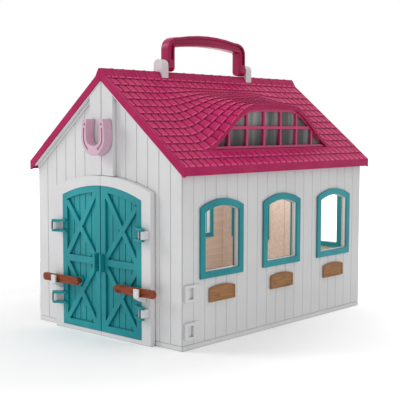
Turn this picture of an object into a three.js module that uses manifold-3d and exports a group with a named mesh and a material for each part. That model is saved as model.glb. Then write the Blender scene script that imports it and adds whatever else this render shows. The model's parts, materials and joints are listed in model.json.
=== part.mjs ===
// Toy stable that is carried by its handle and opens down the middle like a book.
// Millimetres. +Z is up, the doors face -Y, and the origin is at the middle of the base.
import * as THREE from 'three';
import Module from 'manifold-3d';
import { mergeVertices } from 'three/addons/utils/BufferGeometryUtils.js';

const wasm = await Module();
wasm.setup();

// Driving dimensions: walls and roof
const stableWidth = 175;
const stableLength = 251;
const wallThickness = 2.4;
const ridgeHeight = 218.8;
const eaveHeight = 142.7;
const eaveOverhang = 5.9;
const vergeOverhang = 4.9;
const roofThickness = 2.4;
const seatGap = 0.3;
const seamGap = 0.3;
const cutOverrun = 1;
const floorThickness = 3;
const sideBoards = 19;
const gableBoards = 14;
const grooveWidth = 0.9;
const grooveDepth = 0.6;
const plinthHeight = 4;
const friezeHeight = 9;

// Driving dimensions: roof covering
const courses = 13;
const dormerCourses = 11;
const courseStep = 1.1;
const courseProud = 0.2;
const vergeMargin = 2.6;
const vergeDepth = 7.2;
const vergeProud = 0.4;
const fasciaThickness = 2.2;
const fasciaDepth = 6.6;
const ridgeCapRise = 2.4;
const ridgeCapHalfWidth = 5.6;
const ridgeCapFlat = 1.8;

// Driving dimensions: eyebrow dormer
const dormerRise = 37.5;
const dormerFlatHalf = 25;
const dormerHalf = 94.5;
const dormerHead = 14;
const dormerSwell = 1.15;
const bellSteps = 8;
const sillRise = 0.8;
const sillDepth = 7;
const sillThickness = 3;
const lipThickness = 1;
const lipRise = 1.8;
const glazingBarWidth = 2.4;
const glazingBarPitch = 23.3;
const glazingBarPairs = 3;
const glazingCrossRise = 17.8;
const glazingFrameDepth = 2;
const glazingRecess = 1.7;
const glazingRim = 2.2;
const glazingEndInset = 12;
const paneThickness = 1;

// Driving dimensions: side windows and name plates
const windowCount = 3;
const windowPitchShare = 0.3163;
const rearWindowShare = 0.508;
const windowWidth = 52.5;
const windowBase = 54.4;
const windowSpring = 110.5;
const windowCrown = 116.8;
const windowFace = 5.5;
const windowProud = 1.4;
const trimWidth = 4.3;
const trimThickness = 1.4;
const liningThickness = 1.2;
const plateWidth = 31;
const plateBase = 34.7;
const plateShoulder = 45.6;
const plateCrown = 47.6;
const plateThickness = 1.7;
const plateRim = 1.2;
const plateFieldDepth = 0.5;

// Driving dimensions: doorway, door leaves and their bars
const doorHalf = 48;
const doorBase = 3.9;
const doorArchRise = 9.3;
const frameHalf = 58.4;
const frameCrown = 133.5;
const frameArchRise = 11.1;
const frameArchWidth = 8.5;
const frameProud = 5.3;
const doorStop = 2;
const leafGap = 0.45;
const leafBack = 1.6;
const plankFace = 3.4;
const stileWidth = 5.4;
const railHeight = 5.6;
const midRailCentre = 62;
const braceWidth = 4.4;
const planksPerLeaf = 5;
const plankGrooveWidth = 0.7;
const plankGrooveDepth = 0.4;
const finHeight = 15;
const finCentre = 61.5;
const finThickness = 1.6;
const finProud = 4.4;
const finInset = 2.4;
const hingeOutset = 5.8;
const hingeProud = 10.3;
const lowerHingeHeight = 26.9;
const upperHingeDrop = 26.7;
const hingeHeight = 10.4;
const hingeArm = 1.7;
const hingePinRadius = 1.4;
const hingeEyeRadius = 2.1;
const clipRadius = 2.9;
const clipMouth = 2.6;
const runClearance = 0.3;
const barHeight = 6.4;
const barThickness = 2.6;
const barCentreHeight = 43.5;
const barBack = 8.8;
const barInnerEnd = 22.1;
const barOuterEnd = 68.3;
const barPivotInset = 4.2;
const barPivotRadius = 1.3;
const barSpacerRadius = 2.4;
const barBossRadius = 4;
const hookCentre = 51;
const hookWidth = 5.2;
const hookClearance = 1.7;
const hookThickness = 1.5;
const hookFloor = 1.8;
const hookLipTop = 3;
const hookRoot = 5;

// Driving dimensions: gable strip, rake boards and horseshoe clasp
const stripHalf = 13.8;
const stripProud = 3.9;
const stripChamfer = 0.5;
const rakeWidth = 3.4;
const rakeProud = 0.9;
const soffitThickness = 0.9;
const soffitProud = 4.2;
const shoeHalf = 13.8;
const shoeRise = 16.5;
const shoeHeight = 29.8;
const shoeWeb = 5.3;
const shoeDepth = 9;
const shoeBend = 14.5;
const shoeHeelShare = 0.86;
const shoeToeShare = 1.5;
const shoeGrooveWidth = 1.5;
const shoeGrooveDepth = 0.9;
const nailRadius = 0.9;
const nailDrop = 4.2;

// Driving dimensions: handle and its posts
const handlePivotRise = 5.8;
const handleOuterHalf = 52.8;
const handleLeg = 8.2;
const handleWidth = 10.4;
const handleCentre = -2;
const gripRise = 16.2;
const gripArch = 2.7;
const gripThickness = 9.2;
const gripCrownArch = 3.3;
const handleShoulderDrop = 11.5;
const handleCornerInset = 15;
const gripInnerCorner = 3.6;
const handleBevel = 1.4;
const handleRecess = 1.6;
const handleRecessRim = 2.4;
const studRadius = 2.3;
const studLength = 4;
const postGap = 0.6;
const postThickness = 8;
const postHalfWidth = 5.2;

// Driving dimensions: rear hinge between the halves
const caseAxisOffset = 6;
const knuckleRadius = 3;
const knuckleBore = 1.8;
const knucklePinRadius = 1.5;
const knuckleHeight = 8;
const knucklesPerHinge = 3;
const caseHingeHeights = [24, 108];
const knuckleLeafWidth = 12;
const knuckleLeafThickness = 2.2;
const pinHeadRadius = 2.4;
const pinHeadHeight = 1;

// Driving dimensions: fence clips at the front corners
const clipHeights = [15.3, 44.8];
const clipHeight = 13.1;
const clipPlateWidth = 17;
const clipPlateProud = 0.7;
const clipJaw = 2.3;
const clipSlot = 6.1;
const clipProud = 2.9;
const clipInset = 2;
const clipLug = 2.1;

// Sizes worked out from the driving dimensions
const wallFace = stableWidth / 2;
const gableFace = stableLength / 2;
const eaveHalf = wallFace + eaveOverhang;
const roofFall = (ridgeHeight - eaveHeight) / eaveHalf;
const roofDrop = roofThickness * Math.hypot(1, roofFall);
const seam = seamGap / 2;
const vergeFace = gableFace + vergeOverhang;
const coursePitch = eaveHalf / courses;
const browX = dormerCourses * coursePitch;
const sillHeight = slopeHeight(browX) + sillRise;
const glazingCrossHeight = sillHeight + glazingCrossRise;
const wallTop = slopeHeight(wallFace) - roofDrop - seatGap;
const windowPitch = windowPitchShare * stableLength;
const rearWindowCentre = rearWindowShare * wallFace;
const glazingHalf = dormerHalf - glazingEndInset;
const ridgeCapHeight = ridgeHeight + ridgeCapRise;
const handlePivotHeight = ridgeCapHeight + handlePivotRise;
const gripUndersideHeight = handlePivotHeight + gripRise;
const gripUndersideCrown = gripUndersideHeight + gripArch;
const handleCornerHeight = gripUndersideHeight + gripThickness;
const handleCrownHeight = handleCornerHeight + gripCrownArch;
const handleShoulderHeight = handleCornerHeight - handleShoulderDrop;
const frameSpring = frameCrown - frameArchRise;
const doorCrown = frameCrown - frameArchWidth;
const doorSpring = doorCrown - doorArchRise;
const hingeHeights = [lowerHingeHeight, doorSpring - upperHingeDrop];
const shoeBase = frameCrown + shoeRise;
const shoeTop = shoeBase + shoeHeight;
const hingeX = doorHalf + hingeOutset;
const barPivotX = barInnerEnd + barPivotInset;
const caseAxisY = gableFace + caseAxisOffset;
const hookFront = barBack + barThickness + hookClearance + hookThickness;
const frontReach = gableFace + hookFront;
const rearReach = caseAxisY + knuckleRadius;
const arcSteps = 6;
const roundSides = 16;
const bevelRounds = 2;
const weldDistance = 1e-4;

// Finishes
const shellWhite = { color: 0xe9e9ea, roughness: 0.42, metalness: 0 };
const roofPink = { color: 0xc5386f, roughness: 0.38, metalness: 0 };
const handlePink = { color: 0xb0305f, roughness: 0.32, metalness: 0 };
const doorTeal = { color: 0x37939a, roughness: 0.4, metalness: 0 };
const woodBrown = { color: 0x9a5531, roughness: 0.6, metalness: 0 };
const liningBeige = { color: 0xc0a081, roughness: 0.65, metalness: 0 };
const shoeLilac = { color: 0xd6a6c6, roughness: 0.35, metalness: 0 };
const smokedPane = { color: 0x6c7572, roughness: 0.2, metalness: 0, transparent: true, opacity: 0.6 };
const pinSteel = { color: 0xb9bcbf, roughness: 0.3, metalness: 1 };

// Roof surface
function slopeHeight(x) {
  return ridgeHeight - roofFall * x;
}

function bell(y) {
  const reach = (Math.abs(y) - dormerFlatHalf) / (dormerHalf - dormerFlatHalf);
  const share = Math.min(1, Math.max(0, reach));
  return (1 + Math.cos(Math.PI * share)) / 2;
}

function swell(x) {
  const reach = Math.max(0, (x - dormerHead) / (browX - dormerHead));
  return dormerRise * Math.pow(reach, dormerSwell);
}

function roofHeight(x, y) {
  return slopeHeight(x) + swell(x) * bell(y);
}

// Solids: closed geometry to manifold and back
function toSolid(geometry) {
  const bare = new THREE.BufferGeometry();
  bare.setAttribute('position', geometry.getAttribute('position').clone());
  if (geometry.index) bare.setIndex(geometry.index.clone());
  const merged = mergeVertices(bare, weldDistance);
  return new wasm.Manifold(new wasm.Mesh({
    numProp: 3,
    vertProperties: new Float32Array(merged.getAttribute('position').array),
    triVerts: new Uint32Array(merged.index.array),
  }));
}

function toGeometry(solid) {
  const mesh = solid.getMesh();
  const geometry = new THREE.BufferGeometry();
  geometry.setAttribute('position', new THREE.BufferAttribute(new Float32Array(mesh.vertProperties), 3));
  geometry.setIndex(new THREE.BufferAttribute(new Uint32Array(mesh.triVerts), 1));
  geometry.computeVertexNormals();
  return geometry;
}

function join(solids) {
  return solids.reduce((whole, piece) => whole.add(piece));
}

function cut(body, tools) {
  return tools.reduce((rest, tool) => rest.subtract(tool), body);
}

function mirrored(solid) {
  return solid.mirror([1, 0, 0]);
}

// Outlines
function polygon(points) {
  return new THREE.Shape(points.map(([a, b]) => new THREE.Vector2(a, b)));
}

function rectangle(a0, b0, a1, b1) {
  return polygon([[a0, b0], [a1, b0], [a1, b1], [a0, b1]]);
}

function archRadius(half, rise) {
  return (half * half + rise * rise) / (2 * rise);
}

function insetSpring(half, spring, crown, inset) {
  const radius = archRadius(half, crown - spring);
  const innerHalf = half - inset;
  return crown - radius + Math.sqrt((radius - inset) * (radius - inset) - innerHalf * innerHalf);
}

function archOutline(centre, half, base, spring, crown) {
  const radius = archRadius(half, crown - spring);
  const spread = Math.asin(half / radius);
  const shape = new THREE.Shape();
  shape.moveTo(centre - half, base);
  shape.lineTo(centre + half, base);
  shape.lineTo(centre + half, spring);
  shape.absarc(centre, crown - radius, radius, Math.PI / 2 - spread, Math.PI / 2 + spread, false);
  return shape;
}

function circle(a, b, radius) {
  const shape = new THREE.Shape();
  for (let i = 0; i < roundSides; i += 1) {
    const turn = (i * 2 * Math.PI) / roundSides;
    const place = [a + radius * Math.cos(turn), b + radius * Math.sin(turn)];
    if (i === 0) shape.moveTo(...place);
    else shape.lineTo(...place);
  }
  return shape;
}

// Prisms along one axis: an (x, y) outline along z, a (y, z) outline along x, an (x, z) outline along y
const turns = {
  x: new THREE.Matrix4().makeBasis(
    new THREE.Vector3(0, 1, 0), new THREE.Vector3(0, 0, 1), new THREE.Vector3(1, 0, 0)),
  y: new THREE.Matrix4().makeBasis(
    new THREE.Vector3(1, 0, 0), new THREE.Vector3(0, 0, 1), new THREE.Vector3(0, -1, 0)),
  z: new THREE.Matrix4(),
};

function prism(shape, start, end, axis) {
  const geometry = new THREE.ExtrudeGeometry(shape, {
    depth: end - start, bevelEnabled: false, curveSegments: arcSteps });
  geometry.applyMatrix4(turns[axis]);
  if (axis === 'x') geometry.translate(start, 0, 0);
  if (axis === 'y') geometry.translate(0, end, 0);
  if (axis === 'z') geometry.translate(0, 0, start);
  return toSolid(geometry);
}

function box(x0, y0, z0, x1, y1, z1) {
  return prism(rectangle(x0, y0, x1, y1), z0, z1, 'z');
}

// A front piece is described by how far it stands proud of the gable face
function frontPrism(shape, back, front) {
  return prism(shape, -gableFace - front, -gableFace - back, 'y');
}

function frontBox(x0, z0, x1, z1, back, front) {
  return frontPrism(rectangle(x0, z0, x1, z1), back, front);
}

// Side wall with board grooves, window openings and fence clips
function windowCentre(k) {
  return (k - (windowCount - 1) / 2) * windowPitch;
}

function windowPrism(centre, inset, start, end, axis) {
  const half = windowWidth / 2;
  const spring = insetSpring(half, windowSpring, windowCrown, inset);
  const shape = archOutline(centre, half - inset, windowBase + inset, spring, windowCrown - inset);
  return prism(shape, start, end, axis);
}

function grooveAlongWall(y) {
  const shape = polygon([
    [wallFace + cutOverrun, y - grooveWidth / 2 - cutOverrun],
    [wallFace + cutOverrun, y + grooveWidth / 2 + cutOverrun],
    [wallFace - grooveDepth, y],
  ]);
  return prism(shape, plinthHeight, wallTop - friezeHeight, 'z');
}

function fenceClip(z) {
  const near = -gableFace + clipInset;
  const far = near + 2 * clipJaw + clipSlot;
  const root = wallFace - wallThickness / 2;
  const low = z - clipHeight / 2;
  const high = z + clipHeight / 2;
  const backing = box(root, near, low, wallFace + clipPlateProud, near + clipPlateWidth, high);
  const jaws = box(root, near, low, wallFace + clipProud, far, high);
  const pocket = box(wallFace + clipPlateProud, near + clipJaw, low + clipLug,
    wallFace + clipProud + cutOverrun, far - clipJaw, high - clipLug);
  return join([backing, jaws]).subtract(pocket);
}

function sideWall() {
  const inner = wallFace - wallThickness;
  const end = gableFace - seatGap / 2;
  const plan = polygon([
    [wallFace, -end], [wallFace, end],
    [inner, end - wallThickness], [inner, -end + wallThickness],
  ]);
  const slab = prism(plan, 0, wallTop, 'z');
  const plinth = polygon([
    [wallFace + cutOverrun, plinthHeight - grooveWidth / 2 - cutOverrun],
    [wallFace + cutOverrun, plinthHeight + grooveWidth / 2 + cutOverrun],
    [wallFace - grooveDepth, plinthHeight],
  ]);
  const cuts = [prism(plinth, -gableFace - cutOverrun, gableFace + cutOverrun, 'y')];
  for (let k = 1; k < sideBoards; k += 1) {
    cuts.push(grooveAlongWall(-gableFace + (k * stableLength) / sideBoards));
  }
  for (let k = 0; k < windowCount; k += 1) {
    cuts.push(windowPrism(windowCentre(k), windowFace, inner - cutOverrun, wallFace + cutOverrun, 'x'));
  }
  return join([cut(slab, cuts), ...clipHeights.map(fenceClip)]);
}

// Gable halves
function gableOutline() {
  const top = ridgeHeight - roofDrop - seatGap;
  return polygon([
    [seam, 0], [wallFace - seatGap, 0],
    [wallFace - seatGap, top - roofFall * (wallFace - seatGap)],
    [seam, top - roofFall * seam],
  ]);
}

function gableSlab() {
  return prism(gableOutline(), -gableFace, -gableFace + wallThickness, 'y');
}

function mitreCut() {
  const corner = polygon([
    [wallFace - seatGap, -gableFace - cutOverrun],
    [wallFace + cutOverrun, -gableFace - cutOverrun],
    [wallFace + cutOverrun, -gableFace + wallThickness + cutOverrun],
    [wallFace - wallThickness - seatGap - cutOverrun, -gableFace + wallThickness + cutOverrun],
    [wallFace - seatGap, -gableFace],
  ]);
  return prism(corner, -cutOverrun, ridgeHeight, 'z');
}

function gableGrooves() {
  const grooves = [];
  const board = stableWidth / gableBoards;
  for (let x = board; x < wallFace - board / 2; x += board) {
    const shape = polygon([
      [x - grooveWidth / 2 - cutOverrun, -gableFace - cutOverrun],
      [x + grooveWidth / 2 + cutOverrun, -gableFace - cutOverrun],
      [x, -gableFace + grooveDepth],
    ]);
    grooves.push(prism(shape, plinthHeight, ridgeHeight, 'z'));
  }
  const plinth = polygon([
    [-gableFace - cutOverrun, plinthHeight + grooveWidth / 2 + cutOverrun],
    [-gableFace - cutOverrun, plinthHeight - grooveWidth / 2 - cutOverrun],
    [-gableFace + grooveDepth, plinthHeight],
  ]);
  return [...grooves, prism(plinth, -cutOverrun, wallFace + cutOverrun, 'x')];
}

function rakeBoard() {
  return join([rakeBand(rakeWidth, rakeProud), rakeBand(soffitThickness, soffitProud)]);
}

function rakeBand(width, proud) {
  const top = ridgeHeight - vergeDepth - seatGap;
  const reach = width * Math.hypot(1, roofFall);
  const end = wallFace - seatGap;
  const shape = polygon([
    [seam, top - roofFall * seam - reach], [end, top - roofFall * end - reach],
    [end, top - roofFall * end], [seam, top - roofFall * seam],
  ]);
  return frontPrism(shape, -wallThickness / 2, proud);
}

function gableStrip() {
  const top = ridgeHeight - vergeDepth - seatGap;
  const radius = archRadius(frameHalf, frameCrown - frameSpring);
  const foot = frameCrown + seatGap;
  const shape = new THREE.Shape();
  shape.moveTo(seam, foot);
  shape.lineTo(stripHalf, foot - (radius - Math.sqrt(radius * radius - stripHalf * stripHalf)));
  shape.lineTo(stripHalf, top - roofFall * stripHalf);
  shape.lineTo(seam, top - roofFall * seam);
  return frontPrism(shape, -wallThickness / 2, stripProud);
}

function frontGable() {
  const opening = archOutline(0, doorHalf - doorStop, -cutOverrun, doorSpring, doorCrown - doorStop);
  const boards = cut(gableSlab(), gableGrooves());
  const doorway = frontPrism(opening, -wallThickness - cutOverrun, cutOverrun);
  const threshold = prism(rectangle(seam, 0, doorHalf, doorBase - runClearance),
    -gableFace, -gableFace + wallThickness, 'y');
  const whole = join([boards.subtract(doorway), threshold, rakeBoard(), gableStrip()]);
  return cut(whole, [mitreCut(), seamChamfer()]);
}

function seamChamfer() {
  const face = -gableFace - stripProud;
  const corner = polygon([
    [seam - cutOverrun, face - cutOverrun], [seam + stripChamfer + cutOverrun, face - cutOverrun],
    [seam - cutOverrun, face + stripChamfer + cutOverrun],
  ]);
  return prism(corner, frameCrown, ridgeHeight, 'z');
}

function frontToBack(solid) {
  return solid.mirror([0, 1, 0]);
}

function knuckle(z) {
  const plate = box(seam, gableFace - wallThickness / 2, z - knuckleHeight / 2,
    knuckleLeafWidth, gableFace + knuckleLeafThickness, z + knuckleHeight / 2);
  const neck = prism(polygon([
    [seam, gableFace], [knuckleRadius * 2, gableFace],
    [knuckleRadius, caseAxisY], [0, caseAxisY]]), z - knuckleHeight / 2, z + knuckleHeight / 2, 'z');
  const barrel = prism(circle(0, caseAxisY, knuckleRadius), z - knuckleHeight / 2, z + knuckleHeight / 2, 'z');
  return join([plate, neck, barrel]);
}

function knuckleHeights(hinge, side) {
  const pitch = knuckleHeight + runClearance;
  const heights = [];
  for (let k = 0; k < knucklesPerHinge; k += 1) {
    if (k % 2 === side) heights.push(hinge + (k - (knucklesPerHinge - 1) / 2) * pitch);
  }
  return heights;
}

function rearGable(side) {
  const hole = windowPrism(rearWindowCentre, windowFace, -gableFace - cutOverrun,
    -gableFace + wallThickness + cutOverrun, 'y');
  const boards = cut(gableSlab(), [...gableGrooves(), hole]);
  const wall = frontToBack(join([boards, rakeBoard()]).subtract(mitreCut()));
  const heights = caseHingeHeights.flatMap((hinge) => knuckleHeights(hinge, side));
  const whole = join([wall, ...heights.map((z) => knuckle(z))]);
  const bore = prism(circle(0, caseAxisY, knuckleBore), -cutOverrun, ridgeHeight, 'z');
  return whole.subtract(bore);
}

function casePin(hinge) {
  const half = (knucklesPerHinge * (knuckleHeight + runClearance)) / 2;
  const shank = prism(circle(0, caseAxisY, knucklePinRadius), hinge - half, hinge + half + runClearance, 'z');
  const head = prism(circle(0, caseAxisY, pinHeadRadius),
    hinge + half + runClearance, hinge + half + runClearance + pinHeadHeight, 'z');
  return join([shank, head]);
}

function floorPanel() {
  const inner = wallFace - wallThickness - seatGap;
  const end = gableFace - wallThickness - seatGap;
  return box(seam, -end, 0, inner, end, floorThickness);
}

// Roof half: tiled courses that flow over the eyebrow dormer
function loft(sections) {
  const count = sections[0].length;
  const points = sections.flat();
  const faces = [];
  for (let s = 0; s + 1 < sections.length; s += 1) {
    for (let k = 0; k < count; k += 1) {
      const next = (k + 1) % count;
      const a = s * count + k;
      const b = s * count + next;
      faces.push(a, a + count, b + count, a, b + count, b);
    }
  }
  const outline = sections[0].map(([x, , z]) => new THREE.Vector2(x, z));
  const last = (sections.length - 1) * count;
  for (const [a, b, c] of THREE.ShapeUtils.triangulateShape(outline, [])) {
    faces.push(a, b, c, last + a, last + c, last + b);
  }
  const geometry = new THREE.BufferGeometry();
  geometry.setAttribute('position', new THREE.BufferAttribute(new Float32Array(points.flat()), 3));
  geometry.setIndex(faces);
  return toSolid(geometry);
}

function courseLine(first, last, y) {
  const line = [];
  for (let k = first; k < last; k += 1) {
    const upper = Math.max(seam, k * coursePitch);
    const lower = (k + 1) * coursePitch;
    line.push([upper, y, roofHeight(upper, y) + courseProud - courseStep]);
    line.push([lower, y, roofHeight(lower, y) + courseProud]);
  }
  return line;
}

function upperSection(y) {
  const top = courseLine(0, dormerCourses, y);
  const under = [];
  for (let k = dormerCourses; k > 0; k -= 1) {
    under.push([k * coursePitch, y, roofHeight(k * coursePitch, y) - roofDrop]);
  }
  under.push([seam, y, roofHeight(seam, y) - roofDrop]);
  return [...under.reverse(), ...top.reverse()];
}

function bellStations() {
  const stations = [];
  for (let k = 0; k <= bellSteps; k += 1) {
    stations.push(dormerFlatHalf + ((dormerHalf - dormerFlatHalf) * k) / bellSteps);
  }
  const side = [...stations, vergeFace - vergeMargin / 2];
  return [...side.map((y) => -y).reverse(), ...side];
}

function lowerRoof() {
  const start = browX - seamGap;
  const lip = courseLine(dormerCourses, courses, dormerHalf).map(([x, , z]) => [x, z]);
  const fasciaTop = slopeHeight(eaveHalf) + courseProud;
  const outline = [
    [start, slopeHeight(start) + courseProud - courseStep], ...lip,
    [eaveHalf, fasciaTop - fasciaDepth], [eaveHalf - fasciaThickness, fasciaTop - fasciaDepth],
    [eaveHalf - fasciaThickness, slopeHeight(eaveHalf - fasciaThickness) - roofDrop],
    [start, slopeHeight(start) - roofDrop],
  ];
  return prism(polygon(outline), -vergeFace + vergeMargin / 2, vergeFace - vergeMargin / 2, 'y');
}

function dormerSill() {
  const start = browX - sillDepth;
  const outline = [
    [start, sillHeight - sillThickness], [browX + coursePitch / 2, sillHeight - sillThickness - sillRise],
    [browX + sillRise / roofFall, slopeHeight(browX) - courseStep + courseProud],
    [browX, sillHeight], [start, sillHeight],
  ];
  return prism(polygon(outline), -dormerHalf, dormerHalf, 'y');
}

function verge(sign) {
  const near = sign > 0 ? vergeFace - vergeMargin : -vergeFace;
  const far = near + vergeMargin;
  const top = vergeProud;
  const shape = polygon([
    [seam, slopeHeight(seam) + top], [seam, slopeHeight(seam) - vergeDepth],
    [eaveHalf, slopeHeight(eaveHalf) - vergeDepth], [eaveHalf, slopeHeight(eaveHalf) + top],
  ]);
  return prism(shape, near, far, 'y');
}

function ridgeCap() {
  const shape = polygon([
    [seam, ridgeCapHeight], [seam, ridgeHeight - roofDrop],
    [ridgeCapHalfWidth, slopeHeight(ridgeCapHalfWidth) - roofDrop],
    [ridgeCapHalfWidth, slopeHeight(ridgeCapHalfWidth) + courseProud + vergeProud],
    [ridgeCapFlat, ridgeCapHeight],
  ]);
  return prism(shape, -vergeFace, vergeFace, 'y');
}

function roofHalf() {
  const upper = loft(bellStations().map(upperSection));
  return join([upper, lowerRoof(), dormerSill(), dormerLip(), verge(1), verge(-1), ridgeCap()]);
}

function dormerLip() {
  const face = browX - glazingRecess - glazingFrameDepth - paneThickness - 2 * seatGap;
  return box(face - lipThickness, -dormerHalf, sillHeight - sillThickness / 2, face, dormerHalf,
    sillHeight + lipRise);
}

// Dormer window: glazing bars in the roof colour and a smoked pane behind them
function dormerOutline(lower) {
  const planeX = browX - glazingRecess;
  const head = (y) => roofHeight(planeX, y) - roofDrop - seatGap - lower;
  const foot = sillHeight + seatGap + lower;
  const points = [[-glazingHalf, foot], [glazingHalf, foot]];
  const stations = bellStations().filter((y) => Math.abs(y) < glazingHalf).reverse();
  const line = [glazingHalf, ...stations, -glazingHalf];
  for (const y of line) {
    if (head(y) > foot) points.push([y, head(y)]);
  }
  return polygon(points);
}

function dormerFrame() {
  const outer = browX - glazingRecess;
  const inner = outer - glazingFrameDepth;
  const clear = prism(dormerOutline(glazingRim), inner - cutOverrun, outer + cutOverrun, 'x');
  const bars = [];
  for (let k = 0; k < glazingBarPairs * 2; k += 1) {
    const y = (k - glazingBarPairs + 1 / 2) * glazingBarPitch;
    bars.push(box(inner - cutOverrun, y - glazingBarWidth / 2, sillHeight,
      outer + cutOverrun, y + glazingBarWidth / 2, ridgeHeight));
  }
  bars.push(box(inner - cutOverrun, -dormerHalf, glazingCrossHeight - glazingBarWidth / 2,
    outer + cutOverrun, dormerHalf, glazingCrossHeight + glazingBarWidth / 2));
  const slab = prism(dormerOutline(0), inner, outer, 'x');
  return slab.subtract(cut(clear, bars));
}

function dormerPane() {
  const face = browX - glazingRecess - glazingFrameDepth - seatGap;
  return prism(dormerOutline(seatGap), face - paneThickness, face, 'x');
}

// Side lining, window frames, inner trims and name plates
function sideLining() {
  const outer = wallFace - wallThickness - seatGap;
  const end = gableFace - wallThickness - seatGap;
  const slab = box(outer - liningThickness, -end, floorThickness + seatGap, outer, end, wallTop - roofDrop);
  const holes = [];
  for (let k = 0; k < windowCount; k += 1) {
    holes.push(windowPrism(windowCentre(k), windowFace, outer - liningThickness - cutOverrun,
      outer + cutOverrun, 'x'));
  }
  return cut(slab, holes);
}

function rearLining() {
  const back = gableFace - wallThickness - seatGap;
  const side = wallFace - wallThickness - seatGap - liningThickness - seatGap;
  const face = prism(gableOutline(), back - liningThickness, back, 'y');
  const room = box(seam, back - liningThickness, floorThickness + seatGap, side, back, ridgeHeight);
  const hole = windowPrism(rearWindowCentre, windowFace, back - liningThickness - cutOverrun,
    back + cutOverrun, 'y');
  return face.intersect(room).subtract(hole);
}

function windowRing(centre, inset, start, end, axis) {
  const clear = windowPrism(centre, windowFace, start - cutOverrun, end + cutOverrun, axis);
  return windowPrism(centre, inset, start, end, axis).subtract(clear);
}

function windowFrame(centre, face, axis) {
  return windowRing(centre, 0, face + seatGap, face + seatGap + windowProud, axis);
}

function windowTrim(centre, face, axis) {
  const outer = face - wallThickness - seatGap - liningThickness - seatGap;
  return windowRing(centre, windowFace - trimWidth, outer - trimThickness, outer, axis);
}

function plateOutline(centre, inset) {
  const half = plateWidth / 2;
  const spring = insetSpring(half, plateShoulder, plateCrown, inset);
  return archOutline(centre, half - inset, plateBase + inset, spring, plateCrown - inset);
}

function namePlate(k) {
  const back = wallFace + seatGap;
  const front = back + plateThickness;
  const field = prism(plateOutline(windowCentre(k), plateRim), front - plateFieldDepth, front + cutOverrun, 'x');
  return prism(plateOutline(windowCentre(k), 0), back, front, 'x').subtract(field);
}

// Doorway frame with hinge clips and the hook for the bar
function hingeClip(z) {
  const low = z - hingeHeight / 2 + hingeArm + runClearance;
  const high = z + hingeHeight / 2 - hingeArm - runClearance;
  const axisY = -gableFace - hingeProud;
  const neck = box(hingeX - clipRadius, axisY, low, hingeX + clipRadius, -gableFace - frameProud / 2, high);
  const barrel = prism(circle(hingeX, axisY, clipRadius), low, high, 'z');
  const eye = prism(circle(hingeX, axisY, hingePinRadius + runClearance), low - cutOverrun, high + cutOverrun, 'z');
  const mouth = box(hingeX - clipMouth / 2, axisY - clipRadius - cutOverrun, low - cutOverrun,
    hingeX + clipMouth / 2, axisY, high + cutOverrun);
  return cut(join([neck, barrel]), [eye, mouth]);
}

function barHook() {
  const low = barCentreHeight - barHeight / 2 - runClearance;
  const lipBack = hookFront - hookThickness;
  const side = (proud, z) => [-gableFace - proud, z];
  const shape = polygon([
    side(frameProud / 2, low), side(lipBack, low), side(lipBack, barCentreHeight + hookLipTop),
    side(hookFront, barCentreHeight + hookLipTop), side(hookFront, low - hookFloor + hookThickness),
    side(lipBack, low - hookFloor), side(frameProud + hookThickness, low - hookRoot),
    side(frameProud / 2, low - hookRoot),
  ].reverse());
  return prism(shape, hookCentre - hookWidth / 2, hookCentre + hookWidth / 2, 'x');
}

function doorFrame() {
  const outline = archOutline(0, frameHalf, 0, frameSpring, frameCrown);
  const opening = archOutline(0, doorHalf + seatGap, doorBase - seatGap, doorSpring, doorCrown + seatGap);
  const slab = frontPrism(outline, seatGap, frameProud);
  const clear = frontPrism(opening, -cutOverrun, frameProud + cutOverrun);
  const otherHalf = frontBox(-frameHalf - cutOverrun, -cutOverrun, seam, frameCrown + cutOverrun,
    -cutOverrun, frameProud + cutOverrun);
  return join([cut(slab, [clear, otherHalf]), ...hingeHeights.map(hingeClip), barHook()]);
}

// Door leaf: planks behind a braced frame, hinge loops and a grip fin
function leafOutline(inset) {
  const radius = archRadius(doorHalf, doorCrown - doorSpring) - inset;
  const centre = doorCrown - radius - inset;
  const shape = new THREE.Shape();
  const from = Math.acos((doorHalf - inset) / radius);
  shape.moveTo(leafGap + inset, doorBase + inset);
  shape.lineTo(doorHalf - inset, doorBase + inset);
  shape.absarc(0, centre, radius, from, Math.PI / 2 - (leafGap + inset) / radius, false);
  return shape;
}

function braceBar(x0, z0, x1, z1) {
  const run = Math.hypot(x1 - x0, z1 - z0);
  const across = [(-(z1 - z0) / run) * (braceWidth / 2), ((x1 - x0) / run) * (braceWidth / 2)];
  const shape = polygon([
    [x0 - across[0], z0 - across[1]], [x1 - across[0], z1 - across[1]],
    [x1 + across[0], z1 + across[1]], [x0 + across[0], z0 + across[1]],
  ]);
  return frontPrism(shape, plankFace - plankGrooveDepth, frameProud);
}

function hingeLoop(z) {
  const axisY = -gableFace - hingeProud;
  const root = -gableFace - plankFace;
  const padInner = doorHalf - stileWidth;
  const padOuter = doorHalf - runClearance;
  const face = -gableFace - frameProud - runClearance;
  const shape = new THREE.Shape();
  shape.moveTo(padInner, root);
  shape.lineTo(padInner, face - hingeEyeRadius);
  shape.lineTo(hingeX - hingeEyeRadius, axisY - hingeEyeRadius);
  shape.lineTo(hingeX + hingeEyeRadius / 2, axisY - hingeEyeRadius);
  shape.lineTo(hingeX + hingeEyeRadius, axisY - hingeEyeRadius / 2);
  shape.lineTo(hingeX + hingeEyeRadius, axisY + hingeEyeRadius / 2);
  shape.lineTo(hingeX + hingeEyeRadius / 2, axisY + hingeEyeRadius);
  shape.lineTo(padOuter, face);
  shape.lineTo(padOuter, root);
  const arms = [z - hingeHeight / 2, z + hingeHeight / 2 - hingeArm].map(
    (low) => prism(shape, low, low + hingeArm, 'z'));
  const pin = prism(circle(hingeX, axisY, hingePinRadius), z - hingeHeight / 2, z + hingeHeight / 2, 'z');
  return join([...arms, pin]);
}

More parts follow.
